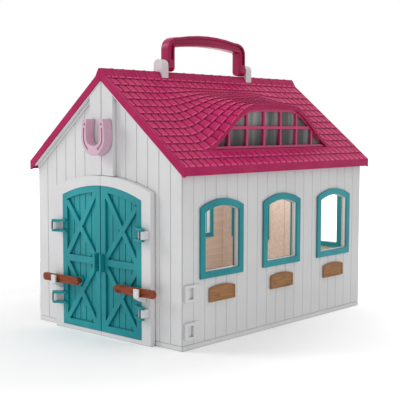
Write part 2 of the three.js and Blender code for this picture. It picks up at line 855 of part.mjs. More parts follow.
function doorLeaf() {
  const outer = frontPrism(leafOutline(0), leafBack, frameProud);
  const field = frontPrism(leafOutline(stileWidth), plankFace, frameProud + cutOverrun);
  const left = leafGap + stileWidth;
  const right = doorHalf - stileWidth;
  const bottom = doorBase + railHeight;
  const midLow = midRailCentre - railHeight / 2;
  const midHigh = midRailCentre + railHeight / 2;
  const shoulder = doorSpring - stileWidth;
  const fieldSolid = frontPrism(leafOutline(stileWidth / 2), leafBack, frameProud);
  const bars = [
    frontBox(leafGap + stileWidth / 2, midLow, doorHalf - stileWidth / 2, midHigh,
      plankFace - plankGrooveDepth, frameProud),
    braceBar(left, bottom, right, midLow), braceBar(right, bottom, left, midLow),
    braceBar(left, midHigh, right, shoulder), braceBar(right, midHigh, left, doorCrown - stileWidth),
  ].map((bar) => bar.intersect(fieldSolid));
  const grooves = [];
  for (let k = 1; k < planksPerLeaf; k += 1) {
    const x = left + ((right - left) * k) / planksPerLeaf;
    grooves.push(frontBox(x - plankGrooveWidth / 2, bottom, x + plankGrooveWidth / 2, doorCrown,
      plankFace - plankGrooveDepth, frameProud + cutOverrun));
  }
  const panel = outer.subtract(field);
  const planks = cut(panel, grooves.map((groove) => groove.intersect(field.add(
    frontPrism(leafOutline(stileWidth), plankFace - plankGrooveDepth, plankFace)))));
  const boss = frontPrism(circle(barPivotX, barCentreHeight, barBossRadius),
    plankFace - plankGrooveDepth, frameProud);
  const fin = frontBox(leafGap + finInset, finCentre - finHeight / 2, leafGap + finInset + finThickness,
    finCentre + finHeight / 2, plankFace, frameProud + finProud);
  const bore = frontPrism(circle(barPivotX, barCentreHeight, barPivotRadius + runClearance),
    -cutOverrun, frameProud + cutOverrun);
  return join([planks, ...bars, boss, fin, ...hingeHeights.map(hingeLoop)]).subtract(bore);
}

function doorBar() {
  const half = barHeight / 2;
  const shape = new THREE.Shape();
  shape.moveTo(barInnerEnd + half, barCentreHeight - half);
  shape.lineTo(barOuterEnd - half / 2, barCentreHeight - half);
  shape.lineTo(barOuterEnd, barCentreHeight - half / 2);
  shape.lineTo(barOuterEnd, barCentreHeight + half / 2);
  shape.lineTo(barOuterEnd - half / 2, barCentreHeight + half);
  shape.lineTo(barInnerEnd + half, barCentreHeight + half);
  shape.absarc(barInnerEnd + half, barCentreHeight, half, Math.PI / 2, (3 * Math.PI) / 2, false);
  const bar = frontPrism(shape, barBack, barBack + barThickness);
  const spacer = frontPrism(circle(barPivotX, barCentreHeight, barSpacerRadius),
    frameProud + runClearance, barBack + barThickness / 2);
  const pivot = frontPrism(circle(barPivotX, barCentreHeight, barPivotRadius),
    leafBack, barBack + barThickness / 2);
  return join([bar, spacer, pivot]);
}

// Horseshoe clasp across the seam of the gable strip
function shoeArc(inset) {
  const bend = shoeBase + shoeBend;
  const turn = Math.acos(shoeHeelShare);
  const rise = (shoeTop - bend) / Math.sin(turn);
  return { half: shoeHalf - inset, drop: shoeBend - inset * shoeToeShare, bend, turn, rise };
}

function shoeOutline() {
  const outer = shoeArc(0);
  const inner = shoeArc(shoeWeb);
  const shape = new THREE.Shape();
  shape.absellipse(0, outer.bend, outer.half, outer.rise, outer.turn, 0, true);
  shape.absellipse(0, outer.bend, outer.half, outer.drop, 0, -Math.PI, true);
  shape.absellipse(0, outer.bend, outer.half, outer.rise, Math.PI, Math.PI - outer.turn, true);
  shape.absellipse(0, inner.bend, inner.half, inner.rise, Math.PI - inner.turn, Math.PI, false);
  shape.absellipse(0, inner.bend, inner.half, inner.drop, -Math.PI, 0, false);
  shape.absellipse(0, inner.bend, inner.half, inner.rise, 0, inner.turn, false);
  return shape;
}

function shoeGroove() {
  const outer = shoeArc((shoeWeb - shoeGrooveWidth) / 2);
  const inner = shoeArc((shoeWeb + shoeGrooveWidth) / 2);
  const start = outer.turn / 2;
  const shape = new THREE.Shape();
  shape.absellipse(0, outer.bend, outer.half, outer.rise, start, 0, true);
  shape.absellipse(0, outer.bend, outer.half, outer.drop, 0, -Math.PI / 3, true);
  shape.absellipse(0, inner.bend, inner.half, inner.drop, -Math.PI / 3, 0, false);
  shape.absellipse(0, inner.bend, inner.half, inner.rise, 0, start, false);
  return shape;
}

function horseshoe() {
  const back = stripProud + seatGap;
  const front = back + shoeDepth;
  const body = frontPrism(shoeOutline(), back, front);
  const groove = frontPrism(shoeGroove(), front - shoeGrooveDepth, front + cutOverrun);
  const nailX = shoeHeelShare * (shoeHalf - shoeWeb / 2) + nailDrop * (1 - shoeHeelShare);
  const nails = [-nailX, nailX].map((x) => frontPrism(circle(x, shoeTop - nailDrop, nailRadius),
    front - shoeGrooveDepth, front + cutOverrun));
  return cut(body, [groove, mirrored(groove), ...nails]);
}

// Carry handle on two posts over the ridge
function handleOutline(inset) {
  const outer = handleOuterHalf - inset;
  const inner = handleOuterHalf - handleLeg + inset;
  const foot = handlePivotHeight - handleWidth / 2 + inset;
  const corner = handleOuterHalf - handleCornerInset;
  const shape = new THREE.Shape();
  shape.moveTo(-outer, foot);
  shape.lineTo(-inner, foot);
  shape.lineTo(-inner, gripUndersideHeight - gripInnerCorner + inset);
  shape.quadraticCurveTo(-inner, gripUndersideHeight + inset, -inner + gripInnerCorner, gripUndersideHeight + inset);
  shape.quadraticCurveTo(0, 2 * gripUndersideCrown - gripUndersideHeight + inset,
    inner - gripInnerCorner, gripUndersideHeight + inset);
  shape.quadraticCurveTo(inner, gripUndersideHeight + inset, inner, gripUndersideHeight - gripInnerCorner + inset);
  shape.lineTo(inner, foot);
  shape.lineTo(outer, foot);
  shape.lineTo(outer, handleShoulderHeight);
  shape.quadraticCurveTo(outer, handleCornerHeight - inset, corner, handleCornerHeight - inset);
  shape.quadraticCurveTo(0, 2 * handleCrownHeight - handleCornerHeight - inset, -corner, handleCornerHeight - inset);
  shape.quadraticCurveTo(-outer, handleCornerHeight - inset, -outer, handleShoulderHeight);
  return shape;
}

function carryHandle() {
  const half = handleWidth / 2;
  const geometry = new THREE.ExtrudeGeometry(handleOutline(handleBevel), {
    depth: handleWidth - 2 * handleBevel, bevelEnabled: true, bevelThickness: handleBevel,
    bevelSize: handleBevel, bevelSegments: bevelRounds, curveSegments: arcSteps });
  geometry.applyMatrix4(turns.x);
  geometry.translate(-half + handleBevel, 0, 0);
  const bail = toSolid(geometry);
  const above = box(-half - cutOverrun, -handleOuterHalf - cutOverrun, handlePivotHeight,
    half + cutOverrun, handleOuterHalf + cutOverrun, handleCrownHeight + handleWidth);
  const feet = prism(circle(0, handlePivotHeight, half),
    -handleOuterHalf - cutOverrun, handleOuterHalf + cutOverrun, 'y');
  const recess = prism(handleOutline(handleRecessRim), half - handleRecess, half + cutOverrun, 'x');
  const recessTop = box(-half, -handleOuterHalf, handlePivotHeight + half,
    half + cutOverrun, handleOuterHalf, handleCrownHeight);
  const studs = prism(circle(0, handlePivotHeight, studRadius),
    -handleOuterHalf - studLength, handleOuterHalf + studLength, 'y');
  const between = box(-half - cutOverrun, -handleOuterHalf + handleLeg / 2, handlePivotHeight - half - cutOverrun,
    half + cutOverrun, handleOuterHalf - handleLeg / 2, handlePivotHeight + half);
  return join([bail.intersect(join([above, feet])).subtract(recess.intersect(recessTop)),
    studs.subtract(between)]);
}

function handlePost(sign) {
  const near = handleOuterHalf + postGap;
  const far = near + postThickness;
  const bridge = ridgeCapHeight + postGap;
  const seat = (x) => slopeHeight(x) + courseProud + vergeProud + seatGap;
  const shape = new THREE.Shape();
  shape.moveTo(-postHalfWidth, bridge);
  shape.lineTo(ridgeCapFlat, bridge);
  shape.lineTo(ridgeCapFlat, ridgeCapHeight + seatGap);
  shape.lineTo(postHalfWidth, Math.max(seat(postHalfWidth), capLine(postHalfWidth) + seatGap));
  shape.lineTo(postHalfWidth, handlePivotHeight);
  shape.absarc(0, handlePivotHeight, postHalfWidth, 0, Math.PI, false);
  const post = sign > 0 ? prism(shape, near, far, 'y') : prism(shape, -far, -near, 'y');
  const reach = studLength + runClearance;
  const bore = sign > 0
    ? prism(circle(0, handlePivotHeight, studRadius + runClearance), near - cutOverrun, handleOuterHalf + reach, 'y')
    : prism(circle(0, handlePivotHeight, studRadius + runClearance), -handleOuterHalf - reach, -near + cutOverrun, 'y');
  return post.subtract(bore);
}

function alongRidge(solid) {
  return solid.translate([0, handleCentre, 0]);
}

function capLine(x) {
  const low = slopeHeight(ridgeCapHalfWidth) + courseProud + vergeProud;
  const share = (x - ridgeCapFlat) / (ridgeCapHalfWidth - ridgeCapFlat);
  return ridgeCapHeight + (low - ridgeCapHeight) * share;
}

// Assembly
const stable = new THREE.Group();
stable.name = 'toy_stable';
stable.position.y = (frontReach - rearReach) / 2;

function place(name, geometry, finish) {
  const mesh = new THREE.Mesh(geometry, new THREE.MeshStandardMaterial(finish));
  mesh.name = name;
  stable.add(mesh);
}

function placePair(name, solid, finish) {
  place(`${name}_right`, toGeometry(solid), finish);
  place(`${name}_left`, toGeometry(mirrored(solid)), finish);
}

placePair('side_wall', sideWall(), shellWhite);
placePair('front_gable', frontGable(), shellWhite);
place('rear_gable_right', toGeometry(rearGable(0)), shellWhite);
place('rear_gable_left', toGeometry(mirrored(rearGable(1))), shellWhite);
placePair('floor_panel', floorPanel(), shellWhite);
placePair('side_lining', sideLining(), liningBeige);
placePair('rear_lining', rearLining(), liningBeige);
placePair('roof', roofHalf(), roofPink);
placePair('dormer_frame', dormerFrame(), roofPink);
placePair('dormer_pane', dormerPane(), smokedPane);
placePair('door_frame', doorFrame(), shellWhite);
placePair('door_leaf', doorLeaf(), doorTeal);
placePair('door_bar', doorBar(), woodBrown);
for (let k = 0; k < windowCount; k += 1) {
  placePair(`window_frame_${k + 1}`, windowFrame(windowCentre(k), wallFace, 'x'), doorTeal);
  placePair(`window_trim_${k + 1}`, windowTrim(windowCentre(k), wallFace, 'x'), doorTeal);
  placePair(`name_plate_${k + 1}`, namePlate(k), woodBrown);
}
placePair('rear_window_frame', windowFrame(rearWindowCentre, gableFace, 'y'), doorTeal);
placePair('rear_window_trim', windowTrim(rearWindowCentre, gableFace, 'y'), doorTeal);
place('horseshoe_clasp', toGeometry(horseshoe()), shoeLilac);
place('carry_handle', toGeometry(alongRidge(carryHandle())), handlePink);
place('handle_post_front', toGeometry(alongRidge(handlePost(-1))), shellWhite);
place('handle_post_rear', toGeometry(alongRidge(handlePost(1))), shellWhite);
caseHingeHeights.forEach((hinge, k) => place(`case_hinge_pin_${k + 1}`, toGeometry(casePin(hinge)), pinSteel));

export default stable;
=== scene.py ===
"""Looks for the toy stable: a moulded plastic case with a tiled roof, barn doors and a carry handle.

Metres, +Z up, doors towards -Y, origin at the middle of the base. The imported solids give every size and
place; this script softens their edges, lays the roof tiles over them, and gives each piece its finish.
"""
import json
import math

import bmesh
import bpy
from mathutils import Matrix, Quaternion, Vector


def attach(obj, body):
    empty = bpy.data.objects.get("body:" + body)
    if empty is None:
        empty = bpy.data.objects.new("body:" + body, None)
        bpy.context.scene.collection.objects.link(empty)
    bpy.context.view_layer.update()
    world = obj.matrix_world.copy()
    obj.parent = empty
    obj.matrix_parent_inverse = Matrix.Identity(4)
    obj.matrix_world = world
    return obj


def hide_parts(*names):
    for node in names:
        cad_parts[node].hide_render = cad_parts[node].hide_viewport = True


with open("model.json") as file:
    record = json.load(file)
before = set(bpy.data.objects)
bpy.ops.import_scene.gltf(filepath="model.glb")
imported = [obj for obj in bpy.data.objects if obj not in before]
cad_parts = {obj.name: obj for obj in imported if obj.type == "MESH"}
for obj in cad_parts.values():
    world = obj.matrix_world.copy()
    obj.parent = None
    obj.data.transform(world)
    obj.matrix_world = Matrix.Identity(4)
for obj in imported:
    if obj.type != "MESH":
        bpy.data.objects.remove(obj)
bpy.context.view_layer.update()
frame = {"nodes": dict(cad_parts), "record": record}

# Camera, found from the photograph's wall and roof edges
CAMERA_PLACE = (0.5599, -0.6259, 0.1750)
CAMERA_TARGET = (-0.00745, 0.0028, 0.1052)
CAMERA_LENS_MM = 81.7
CAMERA_SENSOR_MM = 36.0
CAMERA_ROLL = math.radians(0.13)
CAMERA_CLIP = 0.01

# Roof surface, as the solids have it, measured from the ridge at the seam
FRONT_SHIFT = 0.0028
ROOF_HALF_WIDTH = 0.0934
RIDGE_HEIGHT = 0.2188
EAVE_HEIGHT = 0.1427
ROOF_FALL = (RIDGE_HEIGHT - EAVE_HEIGHT) / ROOF_HALF_WIDTH
COURSES = 13
DORMER_COURSES = 11
COURSE_PITCH = ROOF_HALF_WIDTH / COURSES
COURSE_STEP = 0.0011
COURSE_PROUD = 0.0002
DORMER_RISE = 0.0375
DORMER_FLAT_HALF = 0.025
DORMER_HALF = 0.0945
DORMER_HEAD = 0.014
DORMER_SWELL = 1.15
BROW = DORMER_COURSES * COURSE_PITCH
VERGE_FACE = 0.1304
VERGE_MARGIN = 0.0026
TILE_FIELD_HALF = VERGE_FACE - VERGE_MARGIN

# Roof tiles: shares are of a tile's own width or length, and foot and shoulder are in its own thicknesses
TILE_COLUMNS = 31
TILE_THICKNESS = 0.00085
TILE_GAP_SHARE = 0.10
TILE_CORNER_SHARE = 0.20
TILE_CORNER_STEPS = 3
TILE_EDGE_SHARE = 0.05
TILE_FOOT = -1.6
TILE_SHOULDER = 0.55
TILE_OVERHANG_SHARE = 0.25
TILE_SEED = 7
TILE_SETBACK = 0.0003
TILE_WELD = 1e-5

# Ridge tiles: a raised lip where each one laps the next, but not where the handle's arms come down
RIDGE_CAP_HEIGHT = 0.2212
RIDGE_CAP_FLAT = 0.0018
RIDGE_CAP_HALF = 0.0056
RIDGE_LIP_PROUD = 0.0003
RIDGE_LIP_WIDTH = 0.0012
RIDGE_LIP_SKIRT = 0.001
RIDGE_LIP_FOOT = RIDGE_HEIGHT - ROOF_FALL * RIDGE_CAP_HALF + COURSE_PROUD + 0.0004
RIDGE_TILES = 21
HANDLE_MIDDLE = 0.0008
HANDLE_NEAR = 0.0405
HANDLE_FAR = 0.0605
SEAM = 0.00015

# Ends of the glazing rim, and the stops behind the ends of the pane
GLAZING_FACE = BROW - 0.00178
GLAZING_DEPTH = 0.0018
GLAZING_RIM = 0.0023
SILL_TOP = 0.1553
RIM_END_START = 0.0742
RIM_END_TURN = 0.0782
RIM_END_STOP = 0.0885
RIM_END_STEPS = 8
BROW_DROP = 0.0028
PANE_BACK = BROW - 0.0051
STOP_DEPTH = 0.0006

# Rounded edges of the mouldings, by piece
EDGE_RADIUS = {
    "side_wall": 0.00030,
    "front_gable": 0.00030,
    "rear_gable": 0.00030,
    "door_frame": 0.00045,
    "door_leaf": 0.00025,
    "door_bar": 0.00050,
    "window_frame": 0.00035,
    "rear_window_frame": 0.00035,
    "name_plate": 0.00045,
    "carry_handle": 0.00050,
    "handle_post": 0.00060,
    "horseshoe_clasp": 0.00050,
    "dormer_frame": 0.00025,
}
EDGE_ANGLE = math.radians(32)
EDGE_SEGMENTS = 2
WELD = 1e-6
SLIVER = 2e-5

# Directions in which grain is drawn out
ALONG_X, ALONG_Y, ALONG_Z = range(3)

# Parts of a noise that colour, roughness and streaks follow
NOISE_CORE = (0.35, 0.65)
NOISE_SPAN = (0.3, 0.7)
NOISE_STREAK = (0.55, 0.8)

# Moulded ABS: flow marks, marks drawn out by the tool and the tool's grain, and how far roughness wanders
# down and up. Drawn marks and grain are finer on the real one, and made as coarse as they need to be to show.
ABS_IOR = 1.53
FLOW_MARK = 0.05
DRAWN_MARK = (0.0009, 0.018)
DRAWN_DEPTH = 0.00002
DRAWN_STRENGTH = 0.6
TOOL_GRAIN = 0.0006
TOOL_GRAIN_DEPTH = 0.00001
TOOL_GRAIN_STRENGTH = 0.5
SATIN_DOWN = 0.04
SATIN_UP = 0.05

# Painted shade in creases: how far it reaches out, and its share, from full where a place is closed in
# to none where it is open
CREASE_REACH = 0.0016
CREASE_SHADE = (0.30, 0.80, 1.0, 0.0)
CREASE_SAMPLES = 8

# Roof tile finish: for each colour, two places along a tile, or out from its middle, and how much it covers
# at each. The bright lower edge is a painted highlight; the dark lap, the dark band just under the tile above
# and the dark side joints are painted shade, and the painted shade on the lap is left out on the last course.
TILE_FLOW_MARK = 0.012
TILE_FLOW = (*NOISE_CORE, 0.0, 0.3)
TILE_PAINTED_HIGHLIGHT = (0.76, 0.93, 0.0, 0.35)
TILE_LAP_SHADE = (0.965, 1.0, 0.0, 1.0)
TILE_LAPPED_COURSES = (COURSES - 1.6, COURSES - 1.4, 1.0, 0.0)
TILE_SHADE_UNDER_LAP = (0.17, 0.02, 0.0, 0.8)
TILE_JOINT_SHADE = (0.36, 0.44, 0.0, 0.7)
TILE_DRAWN_MARK = (0.0007, 0.006)
TILE_DRAWN_DEPTH = 0.00005
TILE_DRAWN_STRENGTH = 0.5
TILE_ROUGHNESS = (0.34, 0.46)
TILE_GLOSS = 0.12

# Roof moulding finish: the painted shade in the gaps between the tiles fades out over a short way, and the
# dormer's brow and sill stay plain
ROOF_FLOW_MARK = 0.02
GAP_FADE = 0.0002
SILL_STRIP = 0.0014
FACING_UP = (0.2, 0.3)
ROOF_ROUGHNESS = (0.34, 0.44)
ROOF_GLOSS = 0.1

# Wood look: where its grain turns from dark to pale, and the spacing and edge of its knots
WOOD_IOR = 1.5
WOOD_BAND = (0.38, 0.62)
WOOD_DETAIL = 6.0
WOOD_STRENGTH = 0.6
KNOTS_ACROSS = 0.008
KNOTS_ALONG = 0.017
KNOT_EDGE = (0.10, 0.26)
WOOD_ROUGHNESS = (0.62, 0.48)
WOOD_GLOSS = 0.3

# Smoked pane: the streaks of its painted reflection, and the heights and places along it between which its
# painted reflection makes it lighter
PANE_IOR = 1.55
PANE_STREAK_SLANT = math.radians(28)
PANE_STREAK_WIDTH = 0.012
PANE_STREAK_LENGTH = 0.09
PANE_REFLECTION_STREAK = (0.45, 0.62, 0.0, 0.7)
PANE_LIGHTER_UP = (0.158, 0.186)
PANE_LIGHTER_ALONG = (-0.07, 0.08)
PANE_ALONG_SHARE = 0.45
PANE_ROUGHNESS = (0.12, 0.22)
PANE_GLOSS = 0.15
PANE_ALPHA = 0.98

# Steel pin: fine drawn lines
PIN_LINES = (0.0002, 0.01)
PIN_ROUGHNESS = (0.25, 0.38)

# Floor: what is seen of it is lifted towards white, a little beside the doors and fully far away
FLOOR_HALF = 6.0
FLOOR_MOTTLE = 0.15
FLOOR_ROUGHNESS = 0.9
FLOOR_HEART = (-0.06, -0.12, 0.0)
FLOOR_NEAR = 0.18
FLOOR_FAR = 0.62
FLOOR_LIFT = 0.15

# Studio lamps: name, place, watts and width, all aimed at the middle of the stable
LAMPS = (
    ("key", (-1.55, -1.15, 1.2), 14.5, 0.9),
    ("fill", (1.7, -0.7, 0.9), 1.5, 1.4),
    ("top", (0.2, 0.3, 1.9), 7.0, 1.5))
LAMP_AIM = (0, 0, 0.1)
BACKDROP_LIGHT = 0.5

# Small lamps that light the room inside as plainly as the outside
ROOM_LAMPS = ((0.0, -0.060, 0.125), (0.0, 0.060, 0.125))
ROOM_POWER = 0.115
ROOM_LAMP_RADIUS = 0.02


# Nodes and colours
def srgb(code):
    """An sRGB hex colour as linear RGBA."""
    channels = [int(code[i:i + 2], 16) / 255 for i in (1, 3, 5)]
    return [c / 12.92 if c <= 0.04045 else ((c + 0.055) / 1.055) ** 2.4 for c in channels] + [1.0]


def add(tree, kind, inputs=(), output=0, **settings):
    """Adds a node, sets its properties, and fills its inputs, by name or in order, with values or with the
    outputs of other nodes. Gives one output, from which .node leads to the rest."""
    node = tree.nodes.new(kind)
    for name, value in settings.items():
        setattr(node, name, value)
    for key, value in (inputs.items() if isinstance(inputs, dict) else enumerate(inputs)):
        if isinstance(value, bpy.types.NodeSocket):
            tree.links.new(value, node.inputs[key])
        else:
            node.inputs[key].default_value = value
    return node.outputs[output] if node.outputs else None


def link(tree, source, shader, name):
    tree.links.new(source, shader.inputs[name])


def worked_out(tree, known, steps):
    """Arithmetic in steps. Each step names its result, its operation and its terms, which are numbers or the
    names of what is known by then. Gives all that is known at the end."""
    known = dict(known)
    for name, operation, *terms in steps:
        values = [known[term] if isinstance(term, str) else term for term in terms]
        known[name] = add(tree, "ShaderNodeMath", values, operation=operation)
    return known


def painted(tree, base, *coats):
    """A base colour under coats of others, each laid on by its own share from 0 to 1."""
    colour = srgb(base)
    for share, coat in coats:
        colour = add(tree, "ShaderNodeMix", {"Factor": share, "A": colour, "B": srgb(coat)}, "Result",
                     data_type="RGBA")
    return colour


def grain(tree, across, along, direction, detail=4.0):
    """Noise drawn out along one direction, as wood grain is. Sizes are in metres."""
    scale = [1 / across] * 3
    scale[direction] = 1 / along
    place = add(tree, "ShaderNodeTexCoord", output="Object")
    mapped = add(tree, "ShaderNodeMapping", {"Vector": place, "Scale": scale})
    return add(tree, "ShaderNodeTexNoise", {
        "Vector": mapped, "Scale": 1.0, "Detail": detail, "Roughness": 0.55}, "Fac")


def mottle(tree, size, detail=3.0):
    """Even noise whose patches are about one size across, in metres."""
    place = add(tree, "ShaderNodeTexCoord", output="Object")
    return add(tree, "ShaderNodeTexNoise", {
        "Vector": place, "Scale": 1 / size, "Detail": detail, "Roughness": 0.5}, "Fac")


def tool_skin(tree, **under):
    """The even grain that a mould leaves, over coarser relief where there is some."""
    return add(tree, "ShaderNodeBump", {
        "Height": mottle(tree, TOOL_GRAIN, 2.0), "Distance": TOOL_GRAIN_DEPTH,
        "Strength": TOOL_GRAIN_STRENGTH, **under})


# Finishes
def finish_named(name):
    """A new material with its node tree and its shader."""
    material = bpy.data.materials.new(name)
    material.use_nodes = True
    tree = material.node_tree
    return material, tree, tree.nodes["Principled BSDF"]


def skin(tree, shader, noise, roughness, refraction, gloss):
    """Roughness that wanders between two values with the noise, and the gloss of the whole surface."""
    link(tree, add(tree, "ShaderNodeMapRange", [noise, *NOISE_SPAN, *roughness]), shader, "Roughness")
    shader.inputs["IOR"].default_value = refraction
    shader.inputs["Specular IOR Level"].default_value = gloss


def moulded_abs(name, colour, shade, crease_shade, roughness, direction=ALONG_Z, depth=DRAWN_DEPTH, streak=0.25,
                gloss=0.5):
    """Moulded ABS: even colour with painted shade in its creases, a satin skin with faint flow mottling, and
    the low grain of its tool."""
    material, tree, shader = finish_named(name)
    flow = mottle(tree, FLOW_MARK)
    drawn = grain(tree, *DRAWN_MARK, direction)
    # painted shade: the colour turns to the crease shade colour where ambient occlusion finds a place closed
    # in
    openness = add(tree, "ShaderNodeAmbientOcclusion", {"Distance": CREASE_REACH}, "AO",
                   samples=CREASE_SAMPLES)
    link(tree, painted(
        tree, colour,
        (add(tree, "ShaderNodeMapRange", [flow, *NOISE_CORE]), shade),
        (add(tree, "ShaderNodeMapRange", [drawn, *NOISE_STREAK, 0.0, streak]), shade),
        (add(tree, "ShaderNodeMapRange", [openness, *CREASE_SHADE]), crease_shade)),
        shader, "Base Color")
    relief = add(tree, "ShaderNodeBump", {"Height": drawn, "Distance": depth, "Strength": DRAWN_STRENGTH})
    link(tree, tool_skin(tree, Normal=relief), shader, "Normal")
    skin(tree, shader, flow, (roughness - SATIN_DOWN, roughness + SATIN_UP), ABS_IOR, gloss)
    return material


def roof_tile_abs():
    """Moulded ABS tiles: each a little lighter or darker at random, with a painted highlight on its lower
    edge, and painted shade, deep magenta, on its lap, just under the tile above and along its side joints."""
    material, tree, shader = finish_named("moulded_abs_roof_tile")
    tone, down, course, side = [
        add(tree, "ShaderNodeAttribute", output="Fac", attribute_name=name)
        for name in ("tile_tone", "tile_down", "tile_course", "tile_side")]
    flow = mottle(tree, TILE_FLOW_MARK)
    # painted shade: the dark lip where each tile laps the one below, left out on the last course
    lap = worked_out(tree, {
        "edge": add(tree, "ShaderNodeMapRange", [down, *TILE_LAP_SHADE]),
        "lapped": add(tree, "ShaderNodeMapRange", [course, *TILE_LAPPED_COURSES])},
        [("lap", "MULTIPLY", "edge", "lapped")])["lap"]
    link(tree, painted(
        tree, "#DA1265",
        (tone, "#EC2A7A"),
        (add(tree, "ShaderNodeMapRange", [flow, *TILE_FLOW]), "#E84286"),
        # painted highlight along each tile's lower edge
        (add(tree, "ShaderNodeMapRange", [down, *TILE_PAINTED_HIGHLIGHT]), "#F07BAB"),
        # painted shade on the lip, on the band just under the tile above, and along the side joints
        (lap, "#880A42"),
        (add(tree, "ShaderNodeMapRange", [down, *TILE_SHADE_UNDER_LAP]), "#8A0C48"),
        (add(tree, "ShaderNodeMapRange", [side, *TILE_JOINT_SHADE]), "#9A0C4C")),
        shader, "Base Color")
    drawn = grain(tree, *TILE_DRAWN_MARK, ALONG_X)
    link(tree, add(tree, "ShaderNodeBump", {
        "Height": drawn, "Distance": TILE_DRAWN_DEPTH, "Strength": TILE_DRAWN_STRENGTH}), shader, "Normal")
    skin(tree, shader, flow, TILE_ROUGHNESS, ABS_IOR, TILE_GLOSS)
    return material


def roof_bed_abs():
    """The roof moulding itself: pink ABS, with deep magenta painted shade in the gaps between the tiles."""
    material, tree, shader = finish_named("moulded_abs_roof")
    place = add(tree, "ShaderNodeTexCoord", output="Object")
    normal = add(tree, "ShaderNodeNewGeometry", output="True Normal")
    axes = add(tree, "ShaderNodeSeparateXYZ", [place]).node.outputs
    facing = add(tree, "ShaderNodeSeparateXYZ", [normal], "Z")
    known = worked_out(tree, {"x": axes["X"], "y": axes["Y"]}, (
        ("along", "SUBTRACT", "y", FRONT_SHIFT),
        ("along", "ABSOLUTE", "along"),
        ("out", "ABSOLUTE", "x")))
    along, out = known["along"], known["out"]
    zones = {
        "inside verge": (along, TILE_FIELD_HALF - GAP_FADE, TILE_FIELD_HALF, 1.0, 0.0),
        "past ridge": (out, RIDGE_CAP_HALF, RIDGE_CAP_HALF + GAP_FADE),
        "behind eave": (out, ROOF_HALF_WIDTH - 2 * GAP_FADE, ROOF_HALF_WIDTH - GAP_FADE, 1.0, 0.0),
        "facing up": (facing, *FACING_UP),
        "below sill": (out, BROW + SILL_STRIP, BROW + SILL_STRIP + GAP_FADE),
        "above brow": (out, BROW - 2 * GAP_FADE, BROW - 3 * GAP_FADE),
        "beside dormer": (along, DORMER_HALF - GAP_FADE, DORMER_HALF)}
    shares = {name: add(tree, "ShaderNodeMapRange", zone) for name, zone in zones.items()}
    # painted shade where the moulding shows between the tiles
    gap_shade = worked_out(tree, shares, (
        ("bed", "MULTIPLY", "inside verge", "past ridge"),
        ("bed", "MULTIPLY", "bed", "behind eave"),
        ("bed", "MULTIPLY", "bed", "facing up"),
        ("clear", "MAXIMUM", "below sill", "above brow"),
        ("clear", "MAXIMUM", "clear", "beside dormer"),
        ("gap_shade", "MULTIPLY", "bed", "clear")))["gap_shade"]
    flow = mottle(tree, ROOF_FLOW_MARK)
    link(tree, painted(
        tree, "#C02864",
        (add(tree, "ShaderNodeMapRange", [flow, *NOISE_CORE]), "#B4205B"),
        (gap_shade, "#840C40")),
        shader, "Base Color")
    link(tree, tool_skin(tree), shader, "Normal")
    skin(tree, shader, flow, ROOF_ROUGHNESS, ABS_IOR, ROOF_GLOSS)
    return material


def printed_wood(name, pale, dark, knot, direction, across, along, knots=0.85, depth=0.00012):
    """Wood-look plastic: drawn-out grain lines with a few darker knots, and a dull skin."""
    material, tree, shader = finish_named(name)
    fibre = grain(tree, across, along, direction, WOOD_DETAIL)
    scale = [1 / KNOTS_ACROSS] * 3
    scale[direction] = 1 / KNOTS_ALONG
    place = add(tree, "ShaderNodeTexCoord", output="Object")
    mapped = add(tree, "ShaderNodeMapping", {"Vector": place, "Scale": scale})
    cells = add(tree, "ShaderNodeTexVoronoi", {"Vector": mapped, "Scale": 1.0}, "Distance")
    link(tree, painted(
        tree, dark,
        (add(tree, "ShaderNodeMapRange", [fibre, *WOOD_BAND]), pale),
        (add(tree, "ShaderNodeMapRange", [cells, *KNOT_EDGE, knots, 0.0]), knot)),
        shader, "Base Color")
    relief = add(tree, "ShaderNodeBump", {"Height": fibre, "Distance": depth, "Strength": WOOD_STRENGTH})
    link(tree, relief, shader, "Normal")
    skin(tree, shader, fibre, WOOD_ROUGHNESS, WOOD_IOR, WOOD_GLOSS)
    return material


def smoked_glazing():
    """Smoked clear plastic: dark grey, with a painted reflection that makes it lighter towards the top and
    the back and lays soft slanting light streaks over it."""
    material, tree, shader = finish_named("smoked_styrene_glazing")
    place = add(tree, "ShaderNodeTexCoord", output="Object")
    turned = add(tree, "ShaderNodeMapping", {
        "Vector": place, "Rotation": (PANE_STREAK_SLANT, 0, 0),
        "Scale": (1.0, 1 / PANE_STREAK_WIDTH, 1 / PANE_STREAK_LENGTH)})
    streak = add(tree, "ShaderNodeTexNoise", {"Vector": turned, "Scale": 1.0, "Detail": 2.0}, "Fac")
    axes = add(tree, "ShaderNodeSeparateXYZ", [place]).node.outputs
    light = worked_out(tree, {
        "up": add(tree, "ShaderNodeMapRange", [axes["Z"], *PANE_LIGHTER_UP]),
        "along": add(tree, "ShaderNodeMapRange", [axes["Y"], *PANE_LIGHTER_ALONG]),
        "streak": add(tree, "ShaderNodeMapRange", [streak, *PANE_REFLECTION_STREAK])}, (
        ("rise", "MULTIPLY_ADD", "along", PANE_ALONG_SHARE, "up"),
        ("shine", "MULTIPLY", "streak", "rise")))
    # painted reflection: lighter towards the top and back, with light slanting streaks
    colour = painted(tree, "#101212", (light["rise"], "#5C6160"), (light["shine"], "#B4B9B7"))
    link(tree, colour, shader, "Base Color")
    skin(tree, shader, streak, PANE_ROUGHNESS, PANE_IOR, PANE_GLOSS)
    shader.inputs["Alpha"].default_value = PANE_ALPHA
    return material


